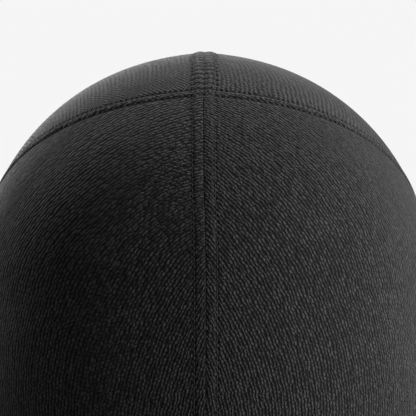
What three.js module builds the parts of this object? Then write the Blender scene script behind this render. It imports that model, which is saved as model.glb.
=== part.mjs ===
// A racing balaclava: a close knitted hood of four panels with one bound eye opening and a loose skirt for the
// neck. Units are millimetres, +Z is up and the face looks along -Y, so +X is the wearer's left. The origin is
// under the crown, where the top of the head seats.
import * as THREE from "three";

// Cloth
const cloth = 1.4; // both knit layers of a panel
const bindingCloth = 0.9; // folded strip round the eye opening
const panelGap = 0.3; // between two panels, at the bottom of a seam's groove
const slotClearance = 0.6; // between a panel and the folded strip that holds its edge

// Head, measured on the outside of the cloth
const headHalfWidth = 79;
const headHalfLength = 96;
const domeDrop = 79; // crown down to the widest level of the head
const skirtDrop = 266; // widest level down to the hem at the sides
const widestBack = 9; // how far the widest points lie behind the top of the head
const backLonger = 4; // how much further the head reaches back than forward, halved
const bibDrop = 16; // how much lower the hem hangs at the front and the back

// Seams
const seamBackArc = 50.3; // from the top of the head back to where the seams cross
const seamEarlyFall = 0.73; // share of the cross seam's fall that goes with the square of the way round
const centreRidge = 3.7; // turned edge beside a centre seam, from the groove to its stitching
const crossRidge = 2.1; // the same beside the cross seam
const ridgeHeight = 0.9;
const ridgeFall = 1.0; // from the stitching out to the flat cloth
const ridgeFade = 5; // stretch in which a ridge flattens before the binding

// Eye opening
const eyeDrop = 39; // widest level down to the middle of the opening
const eyeHalfWidth = 76; // along the cloth, from the middle of the face to a corner
const eyeHalfHeight = 31;
const eyeSquareness = 2.5; // 2 is an ellipse, and more is squarer
const bindingWidth = 9;

// Hem
const hemWidth = 14;
const hemExtra = 1.2; // thickness that the turned hem adds, inside
const hemStep = 1;

// Mesh steps
const crownSteps = { along: 17, across: 9 };
const crownCorner = 62; // degrees round from the back where a crown panel's back edge becomes its side edge
const hoodSteps = { around: 27, down: 17 };
const slopeStep = 0.2;

// Horizontal sections below the widest level, from the top down. Drop is a share of skirtDrop, width a share of
// headHalfWidth, and front, back and middle are shares of headHalfLength. Middle is how far back the widest
// points lie.
const sections = [
  { drop: 0.08, width: 1.0, front: 0.965, back: 1.045, middle: 0.115 },
  { drop: 0.17, width: 1.005, front: 0.945, back: 1.005, middle: 0.085 },
  { drop: 0.26, width: 0.975, front: 0.945, back: 0.915, middle: 0.03 },
  { drop: 0.355, width: 0.915, front: 0.985, back: 0.785, middle: -0.06 },
  { drop: 0.45, width: 0.85, front: 0.985, back: 0.665, middle: -0.14 },
  { drop: 0.545, width: 0.8, front: 0.88, back: 0.59, middle: -0.14 },
  { drop: 0.64, width: 0.785, front: 0.765, back: 0.585, middle: -0.08 },
  { drop: 0.75, width: 0.84, front: 0.745, back: 0.65, middle: -0.03 },
  { drop: 0.865, width: 0.965, front: 0.805, back: 0.745, middle: -0.01 },
  { drop: 1.0, width: 1.14, front: 0.905, back: 0.855, middle: 0 },
];

// Soft forms under the cloth. Azimuth is in degrees from the face, drop a share of skirtDrop, height a share of
// headHalfWidth, and around and along, the half sizes, are shares of headHalfWidth too.
const forms = [
  { what: "nose", azimuth: 0, drop: 0.25, height: 0.08, around: 0.27, along: 0.25 },
  { what: "chin", azimuth: 0, drop: 0.45, height: 0.035, around: 0.35, along: 0.22 },
  { what: "left ear", azimuth: 92, drop: 0.19, height: 0.04, around: 0.24, along: 0.34 },
  { what: "right ear", azimuth: -92, drop: 0.19, height: 0.04, around: 0.24, along: 0.34 },
  { what: "nape crease", azimuth: 176, drop: 0.52, height: -0.026, around: 0.62, along: 0.13 },
  { what: "left throat crease", azimuth: 48, drop: 0.6, height: -0.03, around: 0.5, along: 0.13 },
  { what: "right throat crease", azimuth: -56, drop: 0.57, height: -0.028, around: 0.55, along: 0.13 },
];

// Upright folds of the skirt. Azimuth and width are in degrees, start and end shares of skirtDrop, where an end
// past 1 leaves the fold open at the hem, depth a share of headHalfWidth, and lean the degrees it drifts.
const folds = [
  { azimuth: -157, start: 0.56, end: 1.44, depth: 0.062, width: 15, lean: -5 },
  { azimuth: -122, start: 0.6, end: 1.4, depth: -0.05, width: 13, lean: 4 },
  { azimuth: -88, start: 0.54, end: 1.46, depth: 0.062, width: 15, lean: 3 },
  { azimuth: -50, start: 0.58, end: 1.42, depth: -0.055, width: 14, lean: -4 },
  { azimuth: -20, start: 0.6, end: 1.4, depth: 0.055, width: 13, lean: 3 },
  { azimuth: 14, start: 0.6, end: 1.4, depth: -0.045, width: 13, lean: 2 },
  { azimuth: 42, start: 0.56, end: 1.44, depth: 0.06, width: 14, lean: -4 },
  { azimuth: 76, start: 0.6, end: 1.4, depth: -0.05, width: 13, lean: 3 },
  { azimuth: 108, start: 0.54, end: 1.46, depth: 0.06, width: 15, lean: 4 },
  { azimuth: 143, start: 0.58, end: 1.42, depth: -0.055, width: 14, lean: -3 },
  { azimuth: 171, start: 0.62, end: 1.38, depth: 0.045, width: 12, lean: 3 },
];

const black = 0x1b1b1c;
const degree = Math.PI / 180;
const widestArc = (domeDrop * Math.PI) / 2;
const hemArc = widestArc + skirtDrop;
const eyeArc = widestArc + eyeDrop;
const bindingEdge = bindingCloth + slotClearance; // a panel's edge, out from the finished opening
const eyeCorner = (eyeHalfWidth + bindingEdge) / headHalfLength; // azimuth where the cross seam ends

const lerp = (a, b, share) => a + (b - a) * share;
const smooth = (value) => {
  const s = Math.min(1, Math.max(0, value));
  return s * s * (3 - 2 * s);
};

// The section at the widest level heads the table, so that the dome and the skirt join.
const widest = {
  drop: 0,
  width: 1,
  front: (headHalfLength - backLonger) / headHalfLength,
  back: (headHalfLength + backLonger) / headHalfLength,
  middle: widestBack / headHalfLength,
};
const rows = [widest, ...sections];

// One column of the table at a share of the drop: cubic pieces, level at the top, straight on past the hem.
function column(name, share) {
  const last = rows.length - 1;
  const slope = (k) => {
    if (k === 0) return 0;
    const low = rows[k - 1];
    const high = rows[Math.min(k + 1, last)];
    return (high[name] - low[name]) / (high.drop - low.drop);
  };
  if (share >= 1) return rows[last][name] + slope(last) * (share - 1);
  const k = Math.max(0, rows.findIndex((row) => row.drop > share) - 1);
  const [a, b] = [rows[k], rows[k + 1]];
  const step = b.drop - a.drop;
  const s = (share - a.drop) / step;
  return (
    a[name] * (2 * s ** 3 - 3 * s ** 2 + 1) +
    slope(k) * step * (s ** 3 - 2 * s ** 2 + s) +
    b[name] * (3 * s ** 2 - 2 * s ** 3) +
    slope(k + 1) * step * (s ** 3 - s ** 2)
  );
}

// The ring of cloth at an arc from the top of the head: its height, half width, half length, the shift of its
// widest points and how much its ends are skewed backwards.
function ring(arc) {
  if (arc <= widestArc) {
    const turn = arc / domeDrop;
    const s = Math.sin(turn);
    return {
      share: 0,
      z: -domeDrop * (1 - Math.cos(turn)),
      width: headHalfWidth * s,
      reach: headHalfLength * s,
      middle: widestBack * s * s,
      skew: (backLonger - widestBack) * s * s,
    };
  }
  const share = (arc - widestArc) / skirtDrop;
  const front = column("front", share) * headHalfLength;
  const back = column("back", share) * headHalfLength;
  const middle = column("middle", share) * headHalfLength;
  return {
    share,
    z: -domeDrop - share * skirtDrop,
    width: column("width", share) * headHalfWidth,
    reach: (front + back) / 2,
    middle,
    skew: (back - front) / 2 - middle,
  };
}

// How far forms and folds push the cloth outwards.
function relief(azimuth, share) {
  const away = (degrees) => {
    const turn = azimuth - degrees * degree;
    return Math.atan2(Math.sin(turn), Math.cos(turn));
  };
  let push = 0;
  for (const form of forms) {
    const around = away(form.azimuth) / form.around;
    const along = ((share - form.drop) * skirtDrop) / (form.along * headHalfWidth);
    push += form.height * Math.exp(-around * around - along * along);
  }
  for (const fold of folds) {
    const run = (share - fold.start) / (fold.end - fold.start);
    if (run <= 0 || run >= 1) continue;
    const across = away(fold.azimuth + fold.lean * (run - 0.5)) / (fold.width * degree);
    push += fold.depth * Math.sin(Math.PI * run) ** 2 * Math.exp(-across * across);
  }
  return push * headHalfWidth;
}

// A point on the outside of the plain cloth, before any seam ridge.
function clothPoint(azimuth, arc) {
  const r = ring(arc);
  const [s, c] = [Math.sin(azimuth), Math.cos(azimuth)];
  const push = arc > widestArc / 2 ? relief(azimuth, (arc - widestArc) / skirtDrop) : 0;
  const hang = bibDrop * c * c * Math.max(0, r.share) ** 3;
  return new THREE.Vector3(
    (r.width + push) * s,
    r.middle - r.reach * c + r.skew * c * c - push * c,
    r.z - hang + cloth,
  );
}

// The outward normal, from slopes in the flat map whose polar coordinates are azimuth and arc.
function clothNormal(azimuth, arc) {
  const [p, q] = [arc * Math.sin(azimuth), -arc * Math.cos(azimuth)];
  const at = (dp, dq) => clothPoint(Math.atan2(p + dp, -(q + dq)), Math.hypot(p + dp, q + dq));
  const alongP = at(slopeStep, 0).sub(at(-slopeStep, 0));
  const alongQ = at(0, slopeStep).sub(at(0, -slopeStep));
  return alongP.cross(alongQ).normalize();
}

// Azimuths are signed, and this is how far round from the back one lies.
const fromBack = (azimuth) => Math.PI - Math.abs(azimuth);

// Arc at which the cross seam runs, and its slope, as functions of the azimuth.
function seamArc(azimuth) {
  const share = fromBack(azimuth) / fromBack(eyeCorner);
  return seamBackArc + (eyeArc - seamBackArc) * share ** 2 * lerp(seamEarlyFall, 1, share ** 2);
}
function seamStretch(azimuth, arc) {
  const share = fromBack(azimuth) / fromBack(eyeCorner);
  const slope = (eyeArc - seamBackArc) * (2 * share * seamEarlyFall + 4 * share ** 3 * (1 - seamEarlyFall));
  return Math.hypot(1, slope / fromBack(eyeCorner) / Math.max(ring(arc).width, centreRidge));
}

// The eye opening's outline, grown by a distance. Turn 0 is the corner on the +X side and 90 degrees the top.
function eyePoint(turn, grow) {
  const [c, s] = [Math.cos(turn), Math.sin(turn)];
  const power = 2 / eyeSquareness;
  return {
    azimuth: ((eyeHalfWidth + grow) / headHalfLength) * Math.sign(c) * Math.abs(c) ** power,
    arc: eyeArc - (eyeHalfHeight + grow) * Math.sign(s) * Math.abs(s) ** power,
  };
}
// Distance out from the finished opening, near enough for a fade.
function eyeDistance(azimuth, arc) {
  const across = Math.abs(azimuth * headHalfLength) / eyeHalfWidth;
  const down = Math.abs(arc - eyeArc) / eyeHalfHeight;
  return ((across ** eyeSquareness + down ** eyeSquareness) ** (1 / eyeSquareness) - 1) * eyeHalfHeight;
}

// Turn at which a panel's edge leaves the corner of the opening, clear of its neighbour across the seam.
const cornerGap = (panelGap / 2) * seamStretch(eyeCorner, eyeArc);
const cornerTurn = Math.asin((cornerGap / (eyeHalfHeight + bindingEdge)) ** (eyeSquareness / 2));

// Height of a turned edge at a distance from its seam: half height in the groove, full height in its middle.
function ridgeProfile(distance, width) {
  const outer = width + ridgeFall;
  if (distance >= outer) return 0;
  const half = width / 2;
  if (distance < half) return ridgeHeight * (0.5 + 0.5 * smooth(distance / half));
  return ridgeHeight * (1 - smooth((distance - half) / (outer - half)));
}
function ridge(azimuth, arc, x) {
  const onSide = fromBack(azimuth) < fromBack(eyeCorner);
  const across = onSide ? Math.abs(arc - seamArc(azimuth)) / seamStretch(azimuth, arc) : Infinity;
  const height = Math.max(ridgeProfile(Math.abs(x), centreRidge), ridgeProfile(across, crossRidge));
  return height * smooth((eyeDistance(azimuth, arc) - bindingWidth) / ridgeFade);
}

// Distances from an edge at which a turned edge needs a line of the mesh.
const linesOf = (width) => [0, width / 2, width, width + ridgeFall];
const centreLines = linesOf(centreRidge);
const crossLines = linesOf(crossRidge);
const slotLines = [0, bindingWidth]; // the same at an edge that the binding holds

// A closed wall from a grid of places on the cloth. The outside carries the ridges, the inside the hem.
function wall(name, side, grid) {
  const down = grid.length;
  const across = grid[0].length;
  const points = [];
  const layer = (lift) => {
    for (const row of grid) {
      for (const { azimuth, arc } of row) {
        const at = clothPoint(side * azimuth, arc);
        const normal = clothNormal(side * azimuth, arc);
        at.addScaledVector(normal, lift(azimuth, arc, at.x));
        at.x += (side * panelGap) / 2;
        points.push(at.x, at.y, at.z);
      }
    }
  };
  layer((azimuth, arc, x) => ridge(azimuth, arc, x));
  layer((azimuth, arc) => -cloth - hemExtra * smooth((arc - hemArc + hemWidth + hemStep) / hemStep));
  const faces = [];
  const quad = (a, b, c, d) => faces.push(a, b, c, a, c, d);
  const inside = down * across;
  const index = (i, j) => i * across + j;
  for (let i = 0; i + 1 < down; i++) {
    for (let j = 0; j + 1 < across; j++) {
      const [a, b, c, d] = [index(i, j), index(i, j + 1), index(i + 1, j + 1), index(i + 1, j)];
      quad(a, b, c, d);
      quad(inside + d, inside + c, inside + b, inside + a);
    }
  }
  const rim = [];
  for (let j = 0; j < across; j++) rim.push(index(0, j));
  for (let i = 1; i < down; i++) rim.push(index(i, across - 1));
  for (let j = across - 2; j >= 0; j--) rim.push(index(down - 1, j));
  for (let i = down - 2; i > 0; i--) rim.push(index(i, 0));
  rim.forEach((a, k) => {
    const b = rim[(k + 1) % rim.length];
    quad(b, a, inside + a, inside + b);
  });
  return solid(name, points, faces, side < 0);
}

function solid(name, points, faces, flipped) {
  if (flipped) {
    for (let k = 0; k < faces.length; k += 3) [faces[k + 1], faces[k + 2]] = [faces[k + 2], faces[k + 1]];
  }
  const geometry = new THREE.BufferGeometry();
  geometry.setAttribute("position", new THREE.Float32BufferAttribute(points, 3));
  geometry.setIndex(faces);
  geometry.computeVertexNormals();
  const material = new THREE.MeshStandardMaterial({ color: black, roughness: 0.95, metalness: 0 });
  const mesh = new THREE.Mesh(geometry, material);
  mesh.name = name;
  return mesh;
}

// Shares from 0 to 1 in equal steps, with the lines that each end needs kept at their distance from it.
function spread(count, length, startLines, endLines) {
  const near = startLines.map((d) => d / length);
  const far = endLines.map((d) => 1 - d / length).reverse();
  const from = near[near.length - 1];
  const step = (far[0] - from) / (count + 1);
  const between = Array.from({ length: count }, (_, k) => from + step * (k + 1));
  return [...near, ...between, ...far];
}

// Places in the flat map of the crown, so that the top of the head is a point like any other.
const flat = ({ azimuth, arc }) => new THREE.Vector2(arc * Math.sin(azimuth), -arc * Math.cos(azimuth));
const place = ({ x, y }) => ({ azimuth: Math.abs(Math.atan2(x, -y)), arc: Math.hypot(x, y) });
const onSeam = (azimuth, offset) => ({
  azimuth,
  arc: seamArc(azimuth) + offset * seamStretch(azimuth, seamArc(azimuth)),
});

// Shares along a crown panel's edges from the centre out, along a hood panel's from the centre back round to the
// centre front, and the share at which the hood panel's top edge passes the corner of the eye.
const crownShares = spread(crownSteps.across, eyeHalfWidth, centreLines, crossLines);
const sideLength = fromBack(eyeCorner) * headHalfWidth;
const hoodLength = sideLength + eyeHalfWidth + eyeHalfHeight / 2;
const hoodShares = spread(hoodSteps.around, hoodLength, centreLines, centreLines);
const cornerShare = hoodShares.find((share) => share >= sideLength / hoodLength);

// Turns round the eye opening at those shares: over the brow, and under the eyes.
const browTurn = (share) => lerp(Math.PI / 2, cornerTurn, share);
const cheekTurn = (share) => lerp(-cornerTurn, -Math.PI / 2, (share - cornerShare) / (1 - cornerShare));

// A crown panel is a patch between four edges: the centre seam, the back of the cross seam, its side stretch
// down to the corner of the eye, and the top of the eye opening. The edges are blended in the flat map.
function crown(name, side) {
  const turnPoint = Math.PI - crownCorner * degree;
  const gap = -panelGap / 2;
  const browArc = eyePoint(Math.PI / 2, bindingEdge).arc;
  const centre = (u) => new THREE.Vector2(0, lerp(seamBackArc + gap, -browArc, u));
  const outer = (u) => flat(onSeam(lerp(turnPoint, eyeCorner, u), gap));
  const back = (v) => flat(onSeam(lerp(Math.PI, turnPoint, v), gap));
  const brow = (v) => flat(eyePoint(browTurn(v), bindingEdge));
  const us = spread(crownSteps.along, seamBackArc + browArc, crossLines, slotLines);
  const grid = crownShares.map((v) =>
    us.map((u) => {
      const at = new THREE.Vector2();
      at.addScaledVector(centre(u), 1 - v).addScaledVector(outer(u), v);
      at.addScaledVector(back(v), 1 - u).addScaledVector(brow(v), u);
      at.addScaledVector(centre(0), -(1 - u) * (1 - v)).addScaledVector(centre(1), -u * (1 - v));
      at.addScaledVector(outer(0), -(1 - u) * v).addScaledVector(outer(1), -u * v);
      at.x = Math.max(0, at.x);
      return place(at);
    }),
  );
  return wall(name, side, grid);
}

// A hood panel runs from the centre back round to the centre front. Its top edge is the cross seam as far as
// the corner of the eye and then the lower edge of the opening, and its bottom edge is the hem.
function hood(name, side) {
  const seamAzimuth = (share) => lerp(Math.PI, eyeCorner, share / cornerShare);
  const top = (share) => {
    if (share <= cornerShare) return onSeam(seamAzimuth(share), panelGap / 2);
    return eyePoint(cheekTurn(share), bindingEdge);
  };
  const steps = hoodSteps.down;
  const grid = [];
  const add = (arcOf) =>
    grid.push(
      hoodShares.map((share) => {
        const start = top(share);
        const arc = arcOf(start.arc, share);
        const fall = (arc - start.arc) / (hemArc - start.arc);
        return { azimuth: Math.max(0, lerp(start.azimuth, Math.PI * (1 - share), fall)), arc };
      }),
    );
  const stretch = (share, arc) => (share < cornerShare ? seamStretch(seamAzimuth(share), arc) : 1);
  for (const line of [...crossLines, bindingWidth]) add((arc, share) => arc + line * stretch(share, arc));
  const first = bindingWidth;
  const last = hemArc - hemWidth - hemStep;
  for (let k = 1; k <= steps; k++) {
    add((arc, share) => lerp(arc + first * stretch(share, arc), last, k / steps));
  }
  add(() => last + hemStep);
  add(() => hemArc);
  // Lines beside the centre seams keep their true distance from them at every height.
  for (const row of grid) {
    centreLines.forEach((line, k) => {
      const back = row[k];
      back.azimuth = Math.PI - Math.asin(Math.min(1, line / ring(back.arc).width));
      const front = row[row.length - 1 - k];
      front.azimuth = Math.asin(Math.min(1, line / ring(front.arc).width));
    });
  }
  return wall(name, side, grid);
}

// The folded strip round the eye opening: a U in section, with the panels' edges held in its slot.
function binding(name) {
  const half = cloth / 2 + slotClearance;
  const outside = half + bindingCloth;
  const section = [
    { out: 0, lift: -outside + bindingCloth / 2 },
    { out: 0, lift: outside - bindingCloth / 2 },
    { out: bindingCloth / 2, lift: outside },
    { out: bindingWidth, lift: outside },
    { out: bindingWidth, lift: half },
    { out: bindingCloth, lift: half },
    { out: bindingCloth, lift: -half },
    { out: bindingWidth, lift: -half },
    { out: bindingWidth, lift: -outside },
    { out: bindingCloth / 2, lift: -outside },
  ];
  const cheek = hoodShares.filter((share) => share > cornerShare).map(cheekTurn).reverse();
  const brow = crownShares.filter((share) => share < 1).map(browTurn).reverse();
  const oneSide = [...cheek, 0, ...brow];
  const turns = [...oneSide, ...oneSide.slice(1, -1).map((turn) => Math.PI - turn).reverse()];
  const points = [];
  for (const turn of turns) {
    for (const { out, lift } of section) {
      const { azimuth, arc } = eyePoint(turn, out);
      const at = clothPoint(azimuth, arc);
      at.addScaledVector(clothNormal(azimuth, arc), lift - cloth / 2);
      points.push(at.x, at.y, at.z);
    }
  }
  const faces = [];
  const n = section.length;
  for (let k = 0; k < turns.length; k++) {
    const next = (k + 1) % turns.length;
    for (let j = 0; j < n; j++) {
      const m = (j + 1) % n;
      const [a, b, c, d] = [k * n + j, k * n + m, next * n + m, next * n + j];
      faces.push(a, b, c, a, c, d);
    }
  }
  return solid(name, points, faces, false);
}

const balaclava = new THREE.Group();
balaclava.add(
  crown("crown_left", 1),
  crown("crown_right", -1),
  hood("hood_left", 1),
  hood("hood_right", -1),
  binding("eye_binding"),
);

export default balaclava;
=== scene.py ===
"""A racing balaclava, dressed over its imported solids.

Four panels of fine rib knit, with their turned and stitched seams, and the folded strip round the eye
opening. Lengths are metres, +Z is up, the face looks along -Y and +X is the wearer's left.
"""

import math

import bpy
import numpy as np
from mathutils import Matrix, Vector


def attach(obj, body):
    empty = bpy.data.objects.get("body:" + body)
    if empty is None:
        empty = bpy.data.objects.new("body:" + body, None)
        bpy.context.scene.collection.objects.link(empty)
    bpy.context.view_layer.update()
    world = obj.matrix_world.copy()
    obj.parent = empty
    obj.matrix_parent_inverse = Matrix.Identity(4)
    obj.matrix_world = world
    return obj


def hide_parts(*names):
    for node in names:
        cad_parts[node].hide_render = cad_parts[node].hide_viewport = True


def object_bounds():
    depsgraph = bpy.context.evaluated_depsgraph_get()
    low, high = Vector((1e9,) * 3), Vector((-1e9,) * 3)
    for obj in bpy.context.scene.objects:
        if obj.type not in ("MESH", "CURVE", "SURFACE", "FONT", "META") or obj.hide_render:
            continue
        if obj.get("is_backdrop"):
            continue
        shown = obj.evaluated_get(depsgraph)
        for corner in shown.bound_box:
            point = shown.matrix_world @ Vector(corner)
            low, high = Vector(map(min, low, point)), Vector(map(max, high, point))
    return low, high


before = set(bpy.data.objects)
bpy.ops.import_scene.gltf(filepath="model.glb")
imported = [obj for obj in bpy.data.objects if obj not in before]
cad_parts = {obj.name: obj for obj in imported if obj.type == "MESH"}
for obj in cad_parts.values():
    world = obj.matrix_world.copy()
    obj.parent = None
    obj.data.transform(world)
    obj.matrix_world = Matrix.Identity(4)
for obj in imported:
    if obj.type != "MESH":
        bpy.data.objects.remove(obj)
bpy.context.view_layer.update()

bl_info = {
    "name": "Racing balaclava",
    "version": (1, 0, 0),
    "blender": (4, 5, 0),
    "location": "3D View > Sidebar > Balaclava",
    "description": "Builds a knitted racing balaclava and the studio it is shown in",
    "category": "Object",
}

MM = 0.001

# Horizontal sections from the widest level of the head down to the hem. Drop is a share of the skirt's
# drop, width a share of the head's half width, and front, back and middle are shares of its half length.
SECTIONS = {
    "drop": (0.08, 0.17, 0.26, 0.355, 0.45, 0.545, 0.64, 0.75, 0.865, 1.0),
    "width": (1.0, 1.005, 0.975, 0.915, 0.85, 0.8, 0.785, 0.84, 0.965, 1.14),
    "front": (0.965, 0.945, 0.945, 0.985, 0.985, 0.88, 0.765, 0.745, 0.805, 0.905),
    "back": (1.045, 1.005, 0.915, 0.785, 0.665, 0.59, 0.585, 0.65, 0.745, 0.855),
    "middle": (0.115, 0.085, 0.03, -0.06, -0.14, -0.14, -0.08, -0.03, -0.01, 0.0),
}

# Soft forms under the cloth: azimuth in degrees from the face, drop as a share of the skirt's drop, and
# height and half sizes as shares of the head's half width.
FORMS = [
    # azimuth, drop, height, around, along
    (0, 0.25, 0.08, 0.27, 0.25),  # nose
    (0, 0.45, 0.035, 0.35, 0.22),  # chin
    (92, 0.19, 0.04, 0.24, 0.34),  # left ear
    (-92, 0.19, 0.04, 0.24, 0.34),  # right ear
    (176, 0.52, -0.026, 0.62, 0.13),  # nape crease
    (48, 0.6, -0.03, 0.5, 0.13),  # left throat crease
    (-56, 0.57, -0.028, 0.55, 0.13),  # right throat crease
]

# Upright folds of the skirt: azimuth and width in degrees, start and end as shares of the skirt's drop,
# depth as a share of the head's half width, and the degrees that the fold drifts.
FOLDS = [
    # azimuth, start, end, depth, width, lean
    (-157, 0.56, 1.44, 0.062, 15, -5),
    (-122, 0.6, 1.4, -0.05, 13, 4),
    (-88, 0.54, 1.46, 0.062, 15, 3),
    (-50, 0.58, 1.42, -0.055, 14, -4),
    (-20, 0.6, 1.4, 0.055, 13, 3),
    (14, 0.6, 1.4, -0.045, 13, 2),
    (42, 0.56, 1.44, 0.06, 14, -4),
    (76, 0.6, 1.4, -0.05, 13, 3),
    (108, 0.54, 1.46, 0.06, 15, 4),
    (143, 0.58, 1.42, -0.055, 14, -3),
    (171, 0.62, 1.38, 0.045, 12, 3),
]

# Kinds of the knit: width of a rib as a share of the look's, depth of the gaps between loops in the bump and
# in their painted shade, how much the ribs wander, how much the loops differ, depth of the relief in
# millimetres, share of slanted loops near the crossing, depth of the dents over the centre seam in the bump
# and in their painted shade and highlight, and brightness, which is painted lighter on the crown panels to
# offset the shade of their deeper relief.
KNITS = {
    # name: rib, gap, wander, uneven, depth, slanted, rungs, tone
    "hood knit": (1.0, 0.85, 1.0, 1.0, 0.45, 0.0, 0.0, 0.76),
    "crown left knit": (1.0, 0.65, 0.3, 0.8, 0.58, 0.7, 0.8, 0.99),
    "crown right knit": (1.0, 0.65, 0.3, 0.8, 0.58, 0.0, 0.8, 0.93),
    "binding knit": (0.8, 0.85, 1.0, 1.0, 0.45, 0.0, 0.0, 0.76),
}

# Wide, soft, far lamps: degrees round from the camera towards the picture's right, degrees up, and strength.
LAMPS = [
    # name, round, up, strength
    ("face left", -170, 12, 2.28),
    ("high left", -150, 35, 1.51),
    ("side left", -100, 12, 0.33),
    ("near right", 60, 12, 2.79),
    ("side right", 85, 12, 1.21),
    ("far right", 110, 12, 1.07),
    ("face right", 140, 12, 1.11),
]
LAMP_WIDTH = math.radians(24)

# The camera's place, its lens and its sensor in millimetres, and the studio's brightness and size.
CAMERA_PLACE = (-0.0011, 1.5, -0.0523)
CAMERA_LENS = 370
CAMERA_SENSOR = 36
CAMERA_END = 100
BACKGROUND_SEEN = (0.914, 0.914, 0.914)
BACKGROUND_LIGHT = (0.08, 0.08, 0.08)
FLOOR_RADIUS = 12
FLOOR_GAP = 0.5 * MM

# Noises that push the knit about: how fine each is, per millimetre, and how far it moves a rib, in
# millimetres.
SWAY_SCALE, SWAY = 0.11, 1.6
DRIFT_SCALE, DRIFT = 0.33, 1.2
SHAKE_SCALE, SHAKE = 1.1, 0.75

# How much the ribs of the crown panels drift towards the wearer's right on their way to the back, by side.
CROWN_DRIFT = {1: 0.315, -1: 0.9}
# Degrees round from the back where a crown panel's back edge becomes its side edge.
CROWN_CORNER = math.radians(62)
# Needle holes beside the seams: their widths in millimetres, what is left of them along the centre seam on
# the crown and on the hood panels, the painted shade that darkens them, and their depth. Then the depth of
# the rungs.
CENTRE_HOLES = 0.48
CROSS_HOLES = 0.62
HOLES_LEFT = (0.25, 0.45)
HOLE_SHADE = 0.97
HOLE_DEPTH = 2.4
RUNG_DEPTH = 2.2
# How much larger the cloth is on the head than when it lies flat.
STRETCH = 1.12

# Steps of the panels' grids, and how far the seams' close lines make room for themselves.
CROWN_STEPS = (1.5 * MM, 1.3 * MM)
HOOD_STEP = 1.9 * MM
ROOM = 30 * MM
# Distances above the hem's edge that carry its turn and its stitching.
HEM_LINES = np.concatenate([
    [0, 0.1, 0.3, 0.6, 1.0, 1.5],
    np.arange(3.0, 9.0, 1.5),
    np.arange(9.4, 16.5, 0.6),
]) * MM

# A stitch: stations along it, sides round it, its half length as a share of the pitch, and, as shares of the
# thread, how proud its middle stands and how far its ends dip.
STITCH_STATIONS = 7
STITCH_SIDES = 6
STITCH_REACH = 0.42
STITCH_PROUD = 0.42
STITCH_DIP = 0.9


def length(name, description, default):
    """A length setting, given in millimetres and kept in metres."""
    return bpy.props.FloatProperty(name=name, description=description, default=default * MM, unit="LENGTH")


def number(name, description, default):
    """A setting without a unit."""
    return bpy.props.FloatProperty(name=name, description=description, default=default)


def colour(name, description, default):
    """A colour setting, linear."""
    return bpy.props.FloatVectorProperty(
        name=name, description=description, default=default, size=3, subtype="COLOR", min=0, max=1
    )


class HoodSizes(bpy.types.PropertyGroup):
    """Sizes of the hood, as in its solids."""

    cloth: length("Cloth", "Both knit layers of a panel", 1.4)
    binding_cloth: length("Binding cloth", "Folded strip round the eye opening", 0.9)
    slot_clearance: length("Slot clearance", "Between a panel and the strip that holds its edge", 0.6)
    head_half_width: length("Half width", "Half the breadth of the head", 79)
    head_half_length: length("Half length", "Half the length of the head", 96)
    dome_drop: length("Dome", "Crown down to the widest level", 79)
    skirt_drop: length("Skirt", "Widest level down to the hem at the sides", 266)
    widest_back: length("Widest back", "How far the widest points lie behind the top of the head", 9)
    back_longer: length("Back longer", "How much further the head reaches back than forward, halved", 4)
    bib_drop: length("Bib", "How much lower the hem hangs at the front and the back", 16)
    seam_back: length("Seam crossing", "Top of the head back to where the seams cross", 50.3)
    seam_early_fall: number("Early fall", "Share of the cross seam's fall that goes with the square", 0.73)
    eye_drop: length("Eye drop", "Widest level down to the middle of the eye opening", 39)
    eye_half_width: length("Eye half width", "Middle of the face to a corner, along the cloth", 76)
    eye_half_height: length("Eye half height", "Half the height of the opening", 31)
    eye_squareness: number("Eye squareness", "2 is an ellipse, and more is squarer", 2.5)
    binding_width: length("Binding width", "Width of the strip round the opening", 9)
    hem_width: length("Hem", "Width of the turned hem", 14)
    hem_extra: length("Hem thickness", "Thickness that the turned hem adds", 1.2)


class SeamSizes(bpy.types.PropertyGroup):
    """Sizes of the seams' relief and stitches."""

    centre_reach: length("Centre reach", "Groove to the stitching of a centre seam", 3.75)
    centre_crest: length("Centre crest", "Height of the turned edge beside a centre seam", 0.5)
    cross_reach: length("Cross reach", "Groove to the stitching of the cross seam", 1.75)
    cross_crest: length("Cross crest", "Height of the turned edge beside the cross seam", 0.27)
    centre_pull: length("Centre pull", "Depth to which a centre seam's stitching pulls the cloth", 0.1)
    cross_pull: length("Cross pull", "Depth to which the cross seam's stitching pulls the cloth", 0.2)
    tent: length("Tent", "How much a centre seam lifts the cloth on both sides", 0.42)
    tent_reach: length("Tent reach", "How far that lift spreads", 15)
    allowance: length("Allowance", "Lift over the turned cloth inside a centre seam", 0.3)
    allowance_reach: length("Allowance reach", "How far the turned cloth spreads", 5)
    centre_roll: length("Centre roll", "Radius of the folded edges in a centre seam", 0.3)
    cross_roll: length("Cross roll", "Radius of the folded edges in the cross seam", 0.18)
    centre_start: number("Centre start", "Share of its half wave at which a centre ridge starts", 0.12)
    cross_start: number("Cross start", "The same of the cross seam's ridge", 0.38)
    pressed: number("Pressed", "Share of its height that the centre ridge loses below the crossing", 0.4)
    pressed_reach: length("Pressed reach", "Stretch in which it loses that", 25)
    crown_pull: number("Crown pull", "Share of the centre pull that is left on the crown", 0.4)
    crown_roll: number("Crown roll", "Share of the centre roll that is left on the crown", 0.5)
    hem_row: length("Hem row", "End of the turned hem to its upper row of stitches", 0.6)
    hem_row_gap: length("Hem row gap", "One row of the hem to the other", 2.0)
    hem_pull: length("Hem pull", "Depth to which the hem's stitching pulls the cloth", 0.35)
    hem_groove: length("Hem groove", "Half the width of the groove that this makes", 1.9)
    hem_sink: length("Hem sink", "Depth of the threads in that groove", 0.28)
    binding_row: length("Binding row", "Outer edge of the strip to its outer row of stitches", 1.4)
    binding_row_gap: length("Binding row gap", "One row of the strip to the other", 3.0)
    pitch: length("Stitch pitch", "One stitch to the next", 2.0)
    thread: length("Thread", "Thickness of the sewing thread", 0.34)


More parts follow.
